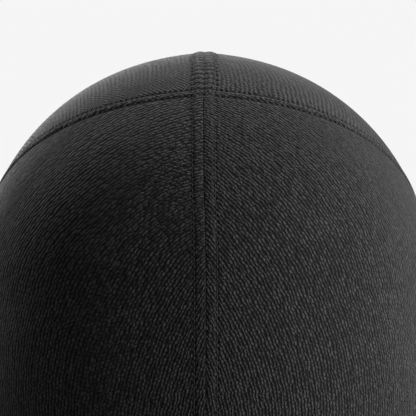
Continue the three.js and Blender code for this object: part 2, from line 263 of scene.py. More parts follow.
class KnitLook(bpy.types.PropertyGroup):
    """Colours and gauge of the knit."""

    yarn: colour("Yarn", "Colour of the yarn on the crest of a rib", (0.062, 0.062, 0.065))
    # The gap colour is painted shade: the knit darkens towards it on the ribs' flanks and in the gaps between
    # loops.
    gap: colour("Gap", "Colour between the ribs", (0.006, 0.006, 0.0065))
    thread: colour("Thread", "Colour of the sewing thread", (0.024, 0.024, 0.025))
    rib: length("Rib", "One rib to the next", 1.36)
    loop: length("Loop", "One loop to the next along a rib", 1.95)
    floor: colour("Floor", "Colour of the studio floor", (0.92, 0.92, 0.92))
    floor_bounce: colour("Floor bounce", "Colour that the floor throws back", (0.15, 0.15, 0.15))


def smooth(value):
    """A smooth step from 0 at 0 to 1 at 1, level outside."""
    s = np.clip(value, 0, 1)
    return s * s * (3 - 2 * s)


def rising(value, start, end):
    """A smooth step from 0 at the start to 1 at the end, which may lie below the start."""
    return smooth((value - start) / (end - start))


def lerp(a, b, share):
    return a + (b - a) * share


def unit(vectors):
    return vectors / np.maximum(np.linalg.norm(vectors, axis=-1, keepdims=True), 1e-12)


class Hood:
    """The surface of the worn hood. A place on it is an azimuth, from the face towards +X, and an arc, the
    way down from the top of the head."""

    def __init__(self, sizes, seams):
        self.s = sizes
        self.seams = seams
        self.widest_arc = sizes.dome_drop * math.pi / 2
        self.hem_arc = self.widest_arc + sizes.skirt_drop
        self.eye_arc = self.widest_arc + sizes.eye_drop
        self.binding_edge = sizes.binding_cloth + sizes.slot_clearance
        self.eye_corner = (sizes.eye_half_width + self.binding_edge) / sizes.head_half_length
        half = sizes.head_half_length
        widest = {
            "drop": 0.0,
            "width": 1.0,
            "front": (half - sizes.back_longer) / half,
            "back": (half + sizes.back_longer) / half,
            "middle": sizes.widest_back / half,
        }
        self.columns = {name: np.array([widest[name], *values]) for name, values in SECTIONS.items()}

    def column(self, name, share):
        """Cubic pieces through a column of the table, level at its top and straight on past its end."""
        drop, value = self.columns["drop"], self.columns[name]
        slope = np.zeros(len(drop))
        slope[1:-1] = (value[2:] - value[:-2]) / (drop[2:] - drop[:-2])
        slope[-1] = (value[-1] - value[-2]) / (drop[-1] - drop[-2])
        k = np.clip(np.searchsorted(drop, share, side="right") - 1, 0, len(drop) - 2)
        step = drop[k + 1] - drop[k]
        s = (share - drop[k]) / step
        rise = s * s * (3 - 2 * s)
        inside = lerp(value[k], value[k + 1], rise)
        inside = inside + step * (slope[k] * s * (1 - s) ** 2 - slope[k + 1] * s * s * (1 - s))
        return np.where(share >= 1, value[-1] + slope[-1] * (share - 1), inside)

    def ring(self, arc):
        """Height, half width, half length, shift and skew of the ring of cloth at an arc: a sphere's rings
        down to the widest level, and then the table's."""
        s = self.s
        turn = np.minimum(arc, self.widest_arc) / s.dome_drop
        sine = np.sin(turn)
        share = np.maximum(0, (arc - self.widest_arc) / s.skirt_drop)
        front = self.column("front", share) * s.head_half_length
        back = self.column("back", share) * s.head_half_length
        middle = self.column("middle", share) * s.head_half_length
        width = self.column("width", share) * s.head_half_width
        dome = arc <= self.widest_arc
        return {
            "share": share,
            "z": np.where(dome, -s.dome_drop * (1 - np.cos(turn)), -s.dome_drop - share * s.skirt_drop),
            "width": np.where(dome, s.head_half_width * sine, width),
            "reach": np.where(dome, s.head_half_length * sine, (front + back) / 2),
            "middle": np.where(dome, s.widest_back * sine**2, middle),
            "skew": np.where(dome, (s.back_longer - s.widest_back) * sine**2, (back - front) / 2 - middle),
        }

    def relief(self, azimuth, share):
        """Sum of Gaussian forms and of folds, each a Gaussian across and a squared sine along."""
        s = self.s
        away = lambda degrees: np.arctan2(
            np.sin(azimuth - np.radians(degrees)), np.cos(azimuth - np.radians(degrees))
        )
        push = 0.0
        for degrees, drop, height, around, along in FORMS:
            down = (share - drop) * s.skirt_drop / (along * s.head_half_width)
            push = push + height * np.exp(-((away(degrees) / around) ** 2) - down**2)
        for degrees, start, end, depth, width, lean in FOLDS:
            run = np.clip((share - start) / (end - start), 0, 1)
            across = away(degrees + lean * (run - 0.5)) / math.radians(width)
            push = push + depth * np.sin(np.pi * run) ** 2 * np.exp(-(across**2))
        return push * s.head_half_width

    def plain(self, azimuth, arc):
        """Points on the outside of the plain cloth, before any seam."""
        s, r = self.s, self.ring(arc)
        sine, cosine = np.sin(azimuth), np.cos(azimuth)
        push = np.where(
            arc > self.widest_arc / 2, self.relief(azimuth, (arc - self.widest_arc) / s.skirt_drop), 0
        )
        hang = s.bib_drop * cosine**2 * r["share"] ** 3
        y = r["middle"] - r["reach"] * cosine + r["skew"] * cosine**2 - push * cosine
        return np.stack([(r["width"] + push) * sine, y, r["z"] - hang + s.cloth], axis=-1)

    def normal(self, azimuth, arc):
        """Outward normals, from central differences in the flat map whose polar coordinates are the place."""
        p, q = arc * np.sin(azimuth), -arc * np.cos(azimuth)
        step = 0.2 * MM
        at = lambda dp, dq: self.plain(np.arctan2(p + dp, -(q + dq)), np.hypot(p + dp, q + dq))
        return unit(np.cross(at(step, 0) - at(-step, 0), at(0, step) - at(0, -step)))

    def from_back(self, azimuth):
        """The way round from the middle of the back, in radians."""
        return math.pi - np.abs(azimuth)

    def seam_arc(self, azimuth):
        """Arc of the cross seam: its fall grows with the square and the fourth power of the way round."""
        s, share = self.s, self.from_back(azimuth) / self.from_back(self.eye_corner)
        return s.seam_back + (self.eye_arc - s.seam_back) * share**2 * lerp(s.seam_early_fall, 1, share**2)

    def seam_stretch(self, azimuth, arc):
        """How much longer a step along the arc is than the distance from the cross seam that it makes."""
        s, whole = self.s, self.from_back(self.eye_corner)
        share = self.from_back(azimuth) / whole
        slope = 2 * share * s.seam_early_fall + 4 * share**3 * (1 - s.seam_early_fall)
        slope = (self.eye_arc - s.seam_back) * slope / whole
        return np.hypot(1, slope / np.maximum(self.ring(arc)["width"], self.seams.centre_reach))

    def from_cross_seam(self, azimuth, arc):
        """Distance from the cross seam, positive below it, and very large where the seam has ended."""
        away = (arc - self.seam_arc(azimuth)) / self.seam_stretch(azimuth, arc)
        return np.where(self.from_back(azimuth) <= self.from_back(self.eye_corner), away, 1.0)

    def seam_distance(self, points, azimuth, arc):
        """Distance of points from the cross seam: the step along the arc close to it, and further away the
        straight distance to the nearest of many places on it."""
        turns = np.linspace(-math.pi, math.pi, 400)
        turns = turns[self.from_back(turns) <= self.from_back(self.eye_corner)]
        seam = self.plain(turns, self.seam_arc(turns))
        straight = np.stack([np.linalg.norm(points - place, axis=-1) for place in seam]).min(axis=0)
        close = np.abs(self.from_cross_seam(azimuth, arc))
        return lerp(close, straight, rising(straight, 4 * MM, 8 * MM))

    def eye_place(self, turn, grow):
        """The eye opening's superellipse, grown by a distance. Turn 0 is the +X corner and a quarter the
        top."""
        s, power = self.s, 2 / self.s.eye_squareness
        c, d = np.cos(turn), np.sin(turn)
        azimuth = (s.eye_half_width + grow) / s.head_half_length * np.sign(c) * np.abs(c) ** power
        return azimuth, self.eye_arc - (s.eye_half_height + grow) * np.sign(d) * np.abs(d) ** power

    def from_eye(self, azimuth, arc):
        """Distance out from the finished opening, near enough for a fade."""
        s = self.s
        across = np.abs(azimuth) * s.head_half_length / s.eye_half_width
        down = np.abs(arc - self.eye_arc) / s.eye_half_height
        level = (across**s.eye_squareness + down**s.eye_squareness) ** (1 / s.eye_squareness)
        return (level - 1) * s.eye_half_height

    def ridge(self, distance, reach, crest, start, pull):
        """A turned edge: a lobe of a sine, from a share of its half wave at the groove to its end at the
        stitching, less a Gaussian where that pulls."""
        t = np.clip(distance / reach, 0, 1) ** 1.2
        lobe = np.maximum(0, np.sin(np.pi * (start + (1 - start) * t))) ** 0.8
        return crest * lobe - pull * np.exp(-(((distance - reach) / (0.6 * MM)) ** 2))

    def below_crossing(self, arc):
        """0 on the crown and 1 below the crossing of the seams, with a short change between them."""
        return rising(arc - self.s.seam_back, -4 * MM, 4 * MM)

    def seam_lift(self, azimuth, arc, x):
        """Height of the seams above the plain cloth: the higher ridge of the two, on a wide soft lift. The
        centre seam is pressed flatter below the crossing."""
        m = self.seams
        side, cross = np.abs(x), np.abs(self.from_cross_seam(azimuth, arc))
        pressed = 1 - m.pressed * smooth((arc - self.s.seam_back) / m.pressed_reach)
        pull = m.centre_pull * lerp(m.crown_pull, 1, self.below_crossing(arc))
        centre = self.ridge(side, m.centre_reach, m.centre_crest, m.centre_start, pull) * pressed
        inside = m.allowance * np.exp(-((side / m.allowance_reach) ** 2)) * pressed
        across = self.ridge(cross, m.cross_reach, m.cross_crest, m.cross_start, m.cross_pull)
        near = np.exp(-((cross / m.cross_reach) ** 4))
        lift = lerp(centre, np.maximum(centre, across), near)
        lift = np.where(side > 1.5 * m.centre_reach, np.where(cross < 1.6 * m.cross_reach, across, 0), lift)
        tent = m.tent * np.exp(-((side / m.tent_reach) ** 2)) * smooth((self.hem_arc - arc) / (60 * MM))
        fade = smooth((self.from_eye(azimuth, arc) - self.s.binding_width) / (5 * MM))
        return (lift + inside + tent) * fade

    def cloth(self, azimuth, arc):
        """Outside of the cloth with its seams, and its plain normals."""
        points, normals = self.plain(azimuth, arc), self.normal(azimuth, arc)
        return points + normals * self.seam_lift(azimuth, arc, points[..., 0])[..., None], normals

    def cross_way(self, azimuth):
        """The way along the cross seam from the middle of the back, in millimetres."""
        turns = np.linspace(math.pi, self.eye_corner, 600)
        return np.interp(-np.abs(azimuth), -turns, running_length(self.plain(turns, self.seam_arc(turns))))

    def centre_way(self, along):
        """The way along the middle line from the front hem over the top, in millimetres, at a distance
        behind the top of the head in the flat map."""
        flat = np.linspace(-self.hem_arc, self.hem_arc, 1500)
        line = self.plain(np.where(flat < 0, 0, math.pi), np.abs(flat))
        return np.interp(along, flat, running_length(line))


def wander(points):
    """The seam down the back wavers as it was sewn: shifts along X by a smooth table of heights, over a
    Gaussian about the middle."""
    heights = np.array([-0.13, -0.075, -0.058, -0.046, -0.019, -0.002])
    shifts = np.array([-0.3, -0.36, -0.2, 0.34, 0.42, 0.0]) * MM
    k = np.clip(np.searchsorted(heights, points[..., 2]) - 1, 0, len(heights) - 2)
    share = smooth((points[..., 2] - heights[k]) / (heights[k + 1] - heights[k]))
    shift = lerp(shifts[k], shifts[k + 1], share) * smooth(points[..., 1] / (30 * MM))
    moved = points.copy()
    moved[..., 0] += shift * np.exp(-((points[..., 0] / (22 * MM)) ** 2))
    return moved


def lines(total, step, start, end=(0.0,)):
    """Shares from 0 to 1: lines at given distances from both ends, and even steps between them."""
    start, end = np.array(start) / total, 1 - np.array(end)[::-1] / total
    count = max(2, round((end[0] - start[-1]) * total / step) + 1)
    return np.concatenate([start, np.linspace(start[-1], end[0], count)[1:-1], end])


def fine(reach):
    """Distances from a folded edge that carry its roll, its ridge and the pull of its stitching."""
    first = np.array([0.0, 0.06, 0.16, 0.3, 0.55]) * MM
    return np.concatenate([first, np.arange(0.9 * MM, reach + 1.6 * MM, 0.35 * MM)])


def roll(distance, radius):
    """Drop of a folded edge: a quarter circle of a given radius."""
    d = np.clip(distance, 0, radius)
    return radius - np.sqrt(np.maximum(0, radius**2 - (radius - d) ** 2))


def draw_to(values, near, nominal, reach):
    """Moves a grid's columns so that its first ones stand where near says, and the next ones, as far out as
    reach on the nominal scale, share what is left evenly."""
    count, far = near.shape[1], int(np.searchsorted(nominal, reach))
    last, goal = values[:, count - 1 : count], values[:, far : far + 1]
    share = (values[:, count:far] - last) / (goal - last)
    values[:, count:far] = near[:, -1:] + share * (goal - near[:, -1:])
    values[:, :count] = near


def crown_places(hood):
    """A crown panel as a patch between four edges, blended in the flat map: the centre seam, the back of
    the cross seam, its side stretch and the top of the eye opening. Returns azimuth and arc on a grid."""
    s, m = hood.s, hood.seams
    turning = math.pi - CROWN_CORNER
    brow_arc = float(hood.eye_place(np.array(math.pi / 2), hood.binding_edge)[1])
    u = lines(s.seam_back + brow_arc, CROWN_STEPS[0], fine(m.cross_reach))
    v = lines(s.eye_half_width, CROWN_STEPS[1], fine(m.centre_reach), fine(m.cross_reach))
    flat = lambda azimuth, arc: np.stack([arc * np.sin(azimuth), -arc * np.cos(azimuth)], axis=-1)
    on_seam = lambda azimuth: flat(azimuth, hood.seam_arc(azimuth))
    zero = np.zeros_like(u)
    centre = np.stack([zero, lerp(s.seam_back, -brow_arc, u)], axis=-1)
    outer = on_seam(lerp(turning, hood.eye_corner, u))
    back = on_seam(lerp(math.pi, turning, v))
    brow = flat(*hood.eye_place(lerp(math.pi / 2, 0, v), hood.binding_edge))
    u, v = u[None, :, None], v[:, None, None]
    grid = lerp(centre[None], outer[None], v) + lerp(back[:, None], brow[:, None], u)
    corners = lerp(lerp(centre[0], centre[-1], u), lerp(outer[0], outer[-1], u), v)
    p, q = np.moveaxis(grid - corners, -1, 0)
    near = fine(m.centre_reach)[None]
    arc = np.abs(q[:1].T)
    stretch = np.maximum(arc, near) / np.maximum(hood.ring(arc)["width"], near)
    draw_to(p.T, near * stretch, v[:, 0, 0] * s.eye_half_width, ROOM)
    return np.arctan2(np.maximum(p, 0), -q), np.hypot(p, q)


def hood_places(hood):
    """A hood panel from the centre back round to the centre front, straight down from the cross seam and
    the lower edge of the opening to the hem. Returns azimuth and arc on a grid."""
    s, m = hood.s, hood.seams
    side = float(hood.from_back(hood.eye_corner)) * s.head_half_width
    total = side + s.eye_half_width + s.eye_half_height / 2
    share = lines(total, HOOD_STEP, fine(m.centre_reach), fine(m.centre_reach))
    corner = share[np.argmin(np.abs(share - side / total))]
    seam_azimuth = lerp(math.pi, hood.eye_corner, np.minimum(share / corner, 1))
    cheek = np.maximum(0, (share - corner) / (1 - corner)) * -math.pi / 2
    eye_azimuth, eye_arc = hood.eye_place(cheek, hood.binding_edge)
    on_seam = share <= corner
    top_azimuth = np.where(on_seam, seam_azimuth, eye_azimuth)
    top_arc = np.where(on_seam, hood.seam_arc(seam_azimuth), eye_arc)
    stretch = np.where(on_seam, hood.seam_stretch(seam_azimuth, top_arc), 1)
    down = fine(m.cross_reach)
    count = round((hood.hem_arc - s.seam_back) / HOOD_STEP)
    falls = np.linspace(0, 1, count)[:, None]
    upper = top_arc + down[:, None] * stretch
    between = lerp(top_arc + down[-1] * 2 * stretch, hood.hem_arc - HEM_LINES[-1], falls)
    lower = hood.hem_arc - HEM_LINES[-2::-1, None] + 0 * share
    arc = np.concatenate([upper, between, lower])
    fall = (arc - top_arc) / (hood.hem_arc - top_arc)
    azimuth = np.maximum(0, lerp(top_azimuth, math.pi * (1 - share), fall))
    near = fine(m.centre_reach)
    from_back = math.pi - azimuth
    draw_to(from_back, np.arcsin(near / hood.ring(arc[:, :1])["width"]), share * total, ROOM)
    azimuth = (math.pi - from_back)[:, ::-1]
    draw_to(azimuth, np.arcsin(near / hood.ring(arc[:, -1:])["width"]), (1 - share[::-1]) * total, ROOM)
    return azimuth[:, ::-1], arc


def rib_slopes(hood, side, azimuth, arc):
    """Slope of the cloth's crosswise coordinate on a hood panel, as its parts round and up. On the dome the
    cloth lies as a flat piece does that touches the head behind the ear, a stereographic map with parallel
    ribs in it, and further down the ribs turn upright. The left panel is cut with its ribs flatter on the
    dome, and the right one's stand up sooner away from the middle."""
    turn = hood.from_back(azimuth)
    lift = math.pi / 2 - np.minimum(arc, hood.widest_arc) / hood.s.dome_drop
    touch, rise, lean = math.radians(50), math.radians(10), math.radians(30)
    along = lambda a, b: np.stack([np.cos(b) * np.sin(a), np.cos(b) * np.cos(a), np.sin(b)], axis=-1)
    round_ = lambda a, b: np.stack([np.cos(a), -np.sin(a), 0 * b], axis=-1)
    up = lambda a, b: np.stack([-np.sin(b) * np.sin(a), -np.sin(b) * np.cos(a), np.cos(b)], axis=-1)
    centre = along(touch, rise)
    cross = math.cos(lean) * round_(touch, rise) + math.sin(lean) * up(touch, rise)
    place = along(turn, lift)
    depth = 1 + place @ centre
    slope = 2 * (cross / depth[..., None] - (place @ cross / depth**2)[..., None] * centre)
    parts = np.stack([(slope * round_(turn, lift)).sum(-1), (slope * up(turn, lift)).sum(-1)], axis=-1)
    size = np.linalg.norm(parts, axis=-1, keepdims=True)
    least, most = 0.9, 1.3
    parts = parts / size * np.clip(size, least, most)
    past = (arc - hood.widest_arc) / MM
    if side > 0:
        far = rising(turn, 0.25, 0.65)
        flatter = rising(past, -100, -30) * lerp(rising(past, -8, -42), rising(past, 8, -22), far)
        steeper = rising(past, -20, -4) * rising(past, 80, 20) * (1 - 0.6 * far)
        more = math.radians(26) * (flatter - steeper)
        parts = parts * (1 - (0.27 + 0.08 * far) * rising(past, 16, -28))[..., None]
    else:
        more = math.radians(-10) * rising(turn, 0.15, 0.6) * rising(past, 60, 0)
    more = more[..., None]
    parts = np.cos(more) * parts + np.sin(more) * np.stack([-parts[..., 1], parts[..., 0]], axis=-1)
    upright = np.array([1.4, 0.0])
    return lerp(parts, upright, rising(past, -10, 80)[..., None])


def flatten(points, crosswise, lengthwise):
    """Flat coordinates of the cloth, for its knit to follow. Each is the field on the grid whose steps come
    closest to the wanted slopes, by least squares, found with conjugate gradients."""
    rows, columns = points[1:] - points[:-1], points[:, 1:] - points[:, :-1]
    tall = np.linalg.norm(rows, axis=-1) + 1e-7
    wide = np.linalg.norm(columns, axis=-1) + 1e-7
    most_rounds, good_enough = 1500, 1e-18
    beside = np.pad(wide, ((0, 0), (1, 1)), mode="edge")
    row_weight = (beside[1:, 1:] + beside[:-1, :-1]) / 2 / tall
    beside = np.pad(tall, ((1, 1), (0, 0)), mode="edge")
    column_weight = (beside[1:, 1:] + beside[:-1, :-1]) / 2 / wide

    def gathered(by_row, by_column, sign):
        out = np.zeros(points.shape[:2])
        out[1:] += by_row
        out[:-1] += sign * by_row
        out[:, 1:] += by_column
        out[:, :-1] += sign * by_column
        return out

    def normal_matrix(field):
        return gathered(row_weight * np.diff(field, axis=0), column_weight * np.diff(field, axis=1), -1)

    size = gathered(row_weight, column_weight, 1)
    fields = []
    for slope in (crosswise, lengthwise):
        row_step = (rows * (slope[1:] + slope[:-1]) / 2).sum(-1)
        column_step = (columns * (slope[:, 1:] + slope[:, :-1]) / 2).sum(-1)
        field = np.zeros(points.shape[:2])
        left = gathered(row_weight * row_step, column_weight * column_step, -1)
        guess = left / size
        way, level = guess.copy(), (left * guess).sum()
        for _ in range(most_rounds):
            pushed = normal_matrix(way)
            step = level / (way * pushed).sum()
            field += step * way
            left -= step * pushed
            guess = left / size
            new_level = (left * guess).sum()
            if new_level < good_enough:
                break
            way, level = guess + new_level / level * way, new_level
        fields.append(field)
    return np.stack(fields, axis=-1)


def shell_faces(rows, columns):
    """Quads of a closed wall on a grid: the outside, the inside turned round, and the rim between them."""
    index = np.arange(rows * columns).reshape(rows, columns)
    corners = [index[:-1, :-1], index[:-1, 1:], index[1:, 1:], index[1:, :-1]]
    outside = np.stack(corners, axis=-1).reshape(-1, 4)
    inside = outside[:, ::-1] + rows * columns
    rim = np.concatenate([index[0], index[1:, -1], index[-1, -2::-1], index[-2:0:-1, 0]])
    after = np.roll(rim, -1)
    edge = np.stack([after, rim, rim + rows * columns, after + rows * columns], axis=-1)
    return np.concatenate([outside, inside, edge])


def tube_faces(rings, around, closed=False):
    """Quads of a tube of rings, whose last ring joins its first if it is closed."""
    index = np.arange(rings * around).reshape(rings, around)
    ahead = np.roll(index, -1, axis=0) if closed else index[1:]
    here = index if closed else index[:-1]
    corners = [here, np.roll(here, -1, axis=1), np.roll(ahead, -1, axis=1), ahead]
    return np.stack(corners, axis=-1).reshape(-1, 4)


def tube_corners(rings, around):
    """Corners of a closed tube's quads on a grid with one more row and column, so that flat coordinates run
    on past the joins."""
    index = np.arange((rings + 1) * (around + 1)).reshape(rings + 1, around + 1)
    return np.stack([index[:-1, :-1], index[:-1, 1:], index[1:, 1:], index[1:, :-1]], axis=-1).ravel()


def add_mesh(name, points, faces, material, maps=None):
    """A mesh object at the origin from points, quads and UV maps that are given by point or by corner."""
    mesh = bpy.data.meshes.new(name)
    mesh.vertices.add(len(points))
    mesh.vertices.foreach_set("co", np.asarray(points, np.float32).ravel())
    mesh.loops.add(faces.size)
    mesh.loops.foreach_set("vertex_index", faces.ravel().astype(np.int32))
    mesh.polygons.add(len(faces))
    mesh.polygons.foreach_set("loop_start", np.arange(0, faces.size, faces.shape[1], dtype=np.int32))
    mesh.polygons.foreach_set("use_smooth", np.ones(len(faces), bool))
    mesh.update(calc_edges=True)
    for map_name, values in (maps or {}).items():
        layer = mesh.uv_layers.new(name=map_name)
        corners = values[faces.ravel()] if len(values) == len(points) else values
        layer.uv.foreach_set("vector", corners.astype(np.float32).ravel())
    mesh.validate()
    mesh.materials.append(material)
    piece = bpy.data.objects.new(name, mesh)
    bpy.context.scene.collection.objects.link(piece)
    return piece


class Wire:
    """A socket, whose arithmetic adds Math nodes."""

    def __init__(self, graph, socket):
        self.graph = graph
        self.socket = socket

    def __add__(self, other):
        return self.graph.math("ADD", self, other)

    def __sub__(self, other):
        return self.graph.math("SUBTRACT", self, other)

    def __rsub__(self, other):
        return self.graph.math("SUBTRACT", other, self)

    def __mul__(self, other):
        return self.graph.math("MULTIPLY", self, other)

    def __truediv__(self, other):
        return self.graph.math("DIVIDE", self, other)

    def __pow__(self, other):
        return self.graph.math("POWER", self, other)

    __radd__ = __add__
    __rmul__ = __mul__


class Graph:
    """The nodes of one material or world."""

    def __init__(self, owner):
        self.owner = owner
        owner.use_nodes = True
        self.tree = owner.node_tree
        self.tree.nodes.clear()

    def node(self, kind, sockets=None, **settings):
        """A node of a kind, with its settings made first and then its sockets' values and links."""
        made = self.tree.nodes.new(kind)
        for name, value in settings.items():
            setattr(made, name, value)
        for key, value in (sockets or {}).items():
            socket = made.inputs[key]
            if isinstance(value, Wire):
                self.tree.links.new(value.socket, socket)
            else:
                socket.default_value = value
        return made

    def out(self, made, key=0):
        return Wire(self, made.outputs[key])

    def math(self, operation, *values):
        return self.out(self.node("ShaderNodeMath", dict(enumerate(values)), operation=operation))

    def bounded(self, value):
        """The value held between 0 and 1."""
        return self.out(self.node("ShaderNodeClamp", {0: value}))

    def smooth(self, value, low, high):
        """A smooth step from 0 at low to 1 at high."""
        kind = "ShaderNodeMapRange"
        made = self.node(kind, {0: value, 1: low, 2: high, 3: 0.0, 4: 1.0}, interpolation_type="SMOOTHSTEP")
        return self.out(made)

    def mix(self, factor, first, second):
        sockets = {0: factor, 6: first, 7: second}
        return self.out(self.node("ShaderNodeMix", sockets, data_type="RGBA"), 2)

    def uv(self, name):
        """Both coordinates of a UV map."""
        made = self.out(self.node("ShaderNodeUVMap", uv_map=name))
        parts = self.node("ShaderNodeSeparateXYZ", {0: made})
        return self.out(parts, 0), self.out(parts, 1), made

    def noise(self, vector, scale, detail=2.0):
        sockets = {"Vector": vector, "Scale": scale, "Detail": detail}
        return self.out(self.node("ShaderNodeTexNoise", sockets))

    def finish(self, shader, kind="ShaderNodeOutputMaterial"):
        self.node(kind, {0: shader})
        return self.owner

    def by_sight(self, unseen, seen):
        """One shader for what the camera sees, and another for the light that is thrown on other things."""
        sight = self.out(self.node("ShaderNodeLightPath"), "Is Camera Ray")
        return self.out(self.node("ShaderNodeMixShader", {0: sight, 1: unseen, 2: seen}))


def opaque(rgb):
    return (*rgb, 1.0)


def knit_material(name, look, seams, with_seams=True):
    """Fine rib knit: upright ribs of short loops, where a rib is a wave of a cosine across and each loop
    lies a little off its rib, differs in brightness and is parted from the next one by a gap. The colour
    follows the same height as the bump, as painted shade: dark in the gaps and on the ribs' flanks, lighter
    on their crests. Near the crossing of the seams some loops line up in one or the other diagonal. The UV
    map cloth holds millimetres. The maps centre and cross hold the distance from a seam and the way along it,
    and darken the holes that the stitches pull with painted shade."""
    # The level is painted light: the crown panels' colour is painted lighter than the hood's to offset the
    # shade of their deeper relief.
    rib, gap_depth_and_shade, wanders, uneven, depth, slanted, rungs, level = KNITS[name]
    g = Graph(bpy.data.materials.new(name))
    u, v, place = g.uv("cloth")
    rib_width, loop_length = look.rib / MM * rib, look.loop / MM * rib
    sway = g.noise(place, SWAY_SCALE, 3.0) - 0.5
    drift = (g.noise(place, DRIFT_SCALE, 2.0) - 0.5) * wanders
    shake = (g.noise(place, SHAKE_SCALE, 2.0) - 0.5) * wanders
    ribs = (u + sway * SWAY + drift * DRIFT + shake * SHAKE) / rib_width
    column = g.math("FLOOR", ribs)
    x = (ribs - column) * 2.0 - 1.0
    odd = g.math("FLOORED_MODULO", column, 2.0)
    late = g.out(g.node("ShaderNodeTexWhiteNoise", {1: column}, noise_dimensions="1D"), 0)
    loops = (v + drift * 2.2 + shake * 1.4) / loop_length
    loops = loops + odd * 0.5 + x * 0.12 + late * (0.5 * uneven)
    row = g.math("FLOOR", loops)
    y = (loops - row) * 2.0 - 1.0
    gap = g.smooth(g.math("ABSOLUTE", y), 0.45, 1.0)
    cell = g.out(g.node("ShaderNodeCombineXYZ", {0: column, 1: row}))
    dice = g.node("ShaderNodeTexWhiteNoise", {0: cell}, noise_dimensions="2D")
    chance = g.out(dice, 0)
    throw = g.out(g.node("ShaderNodeSeparateXYZ", {0: g.out(dice, 1)}), 1)
    off = g.math("ABSOLUTE", x + (throw - 0.5) * (0.7 * uneven))
    rounded = g.math("COSINE", g.math("MINIMUM", off, 1.0) * math.pi) * 0.5 + 0.5
    height = rounded * (1.0 - gap * gap_depth_and_shade)
    if slanted:
        steps = (v + shake * 1.2) / loop_length
        diagonal, share = slanted_loops(g, ribs, steps, place)
        height = height * (1.0 - share * slanted) + diagonal * share * slanted
    patch = g.noise(place, 0.035, 2.0)
    # Painted shade: the colour follows the loops' height, darker on the ribs' flanks and in the gaps, lighter
    # on the crests.
    tone_and_shade = height**0.8 * (level + (chance - 0.5) * (0.9 * uneven)) * (0.86 + patch * 0.28)
    lift = height * (0.8 + chance * 0.2)
    if with_seams:
        pits = stitch_pits(g, "centre", seams.centre_reach / MM, CENTRE_HOLES, seams.pitch / MM, shake)
        pits = pits * HOLES_LEFT[0 if rungs else 1]
        across = stitch_pits(g, "cross", seams.cross_reach / MM, CROSS_HOLES, seams.pitch / MM, shake)
        pits = g.math("MAXIMUM", pits, across)
        # Painted shade in the needle holes.
        tone_and_shade = tone_and_shade * (1.0 - pits * HOLE_SHADE)
        lift = lift - pits * HOLE_DEPTH
    if rungs:
        pressed = seam_rungs_and_shade(g, seams, shake) * rungs
        # Painted shade in the rungs' dents, and a painted highlight on the swells between them, where the
        # wave falls below nothing.
        tone_and_shade = tone_and_shade * (1.0 - pressed)
        lift = lift - pressed * RUNG_DEPTH
    bump = g.node("ShaderNodeBump", {"Strength": 1.0, "Distance": depth * MM, "Height": lift})
    shader = g.node("ShaderNodeBsdfPrincipled", {
        "Base Color": g.mix(g.bounded(tone_and_shade), opaque(look.gap), opaque(look.yarn)),
        "Roughness": 0.8,
        "Specular IOR Level": 0.12,
        "Sheen Weight": 0.16,
        "Sheen Roughness": 0.4,
        "Sheen Tint": (0.85, 0.85, 0.87, 1.0),
        "Normal": g.out(bump),
    })
    return g.finish(g.out(shader))


def slanted_loops(g, ribs, steps, place):
    """Loops that line up in one diagonal or the other, a cosine each, in patches picked by a noise. Gives
    their height and their share, which ends away from the crossing of the seams."""
    forward = g.math("COSINE", (ribs + steps) * math.tau) * 0.5 + 0.5
    backward = g.math("COSINE", (ribs - steps) * math.tau) * 0.5 + 0.5
    turned = g.smooth(g.noise(place, 0.24, 1.0), 0.44, 0.56)
    away, along, _ = g.uv("cross")
    share = (1.0 - g.smooth(away, 12.0, 26.0)) * (1.0 - g.smooth(along, 36.0, 60.0))
    return forward * turned + backward * (1.0 - turned), share


def seam_rungs_and_shade(g, seams, shake):
    """Short rungs across the turned edges of the centre seam, a wave along it that weakens away from the
    crossing: one at a dent, less than nothing on the swell between two dents, and more at the middle. A
    rung takes two stitches and leans a little. The knit sinks its bump with this, and paints shade in the
    dents and a highlight on the swells."""
    distance, along, _ = g.uv("centre")
    leaning = along + distance * 0.12
    wave = g.math("COSINE", (leaning / (2.0 * seams.pitch / MM) + shake * 1.2) * math.tau)
    reach = seams.centre_reach / MM
    over = 1.0 - g.smooth(distance + shake * 5.0, reach * 0.95, reach * 1.45)
    rung = g.smooth(wave + shake * 1.6, -0.4, 0.7) * 1.7 - 0.7
    middle = 1.0 - g.smooth(distance, 0.25, 0.6)
    return (rung + middle * 0.35) * over * (1.0 - g.smooth(g.uv("cross")[0], 22.0, 70.0) * 0.65)


def stitch_pits(g, seam, reach, width, pitch, shake):
    """Needle holes beside a seam: a Gaussian across the stitching, and a soft block at each end of a
    stitch. A noise shakes them. The knit sinks its bump and paints shade with this mask."""
    distance, along, _ = g.uv(seam)
    off = (g.math("ABSOLUTE", distance) - reach + shake * 0.8) / width
    line = g.math("EXPONENT", off * off * -1.0)
    beat = along / pitch + shake * 0.5
    near = g.math("ABSOLUTE", beat - g.math("ROUND", beat))
    return line * (1.0 - g.smooth(near, 0.2, 0.38))


def thread_material(look):
    """Twisted sewing thread: a sine along the stitch and round it makes the plies in the bump, and paints
    shade in the grooves between them.
    """
    g = Graph(bpy.data.materials.new("sewing thread"))
    u, v, _ = g.uv("cloth")
    ply = g.math("SINE", (u * 2.0 + v * 3.0) * math.tau)
    bump = g.node("ShaderNodeBump", {"Strength": 0.5, "Distance": 0.06 * MM, "Height": ply})
    # Painted shade: the thread darkens to half its colour in the grooves between the plies.
    ply_shade = tuple(0.5 * part for part in look.thread)
    shader = g.node("ShaderNodeBsdfPrincipled", {
        "Base Color": g.mix(ply * 0.5 + 0.5, opaque(ply_shade), opaque(look.thread)),
        "Roughness": 0.7,
        "Specular IOR Level": 0.3,
        "Sheen Weight": 0.2,
        "Normal": g.out(bump),
    })
    return g.finish(g.out(shader))


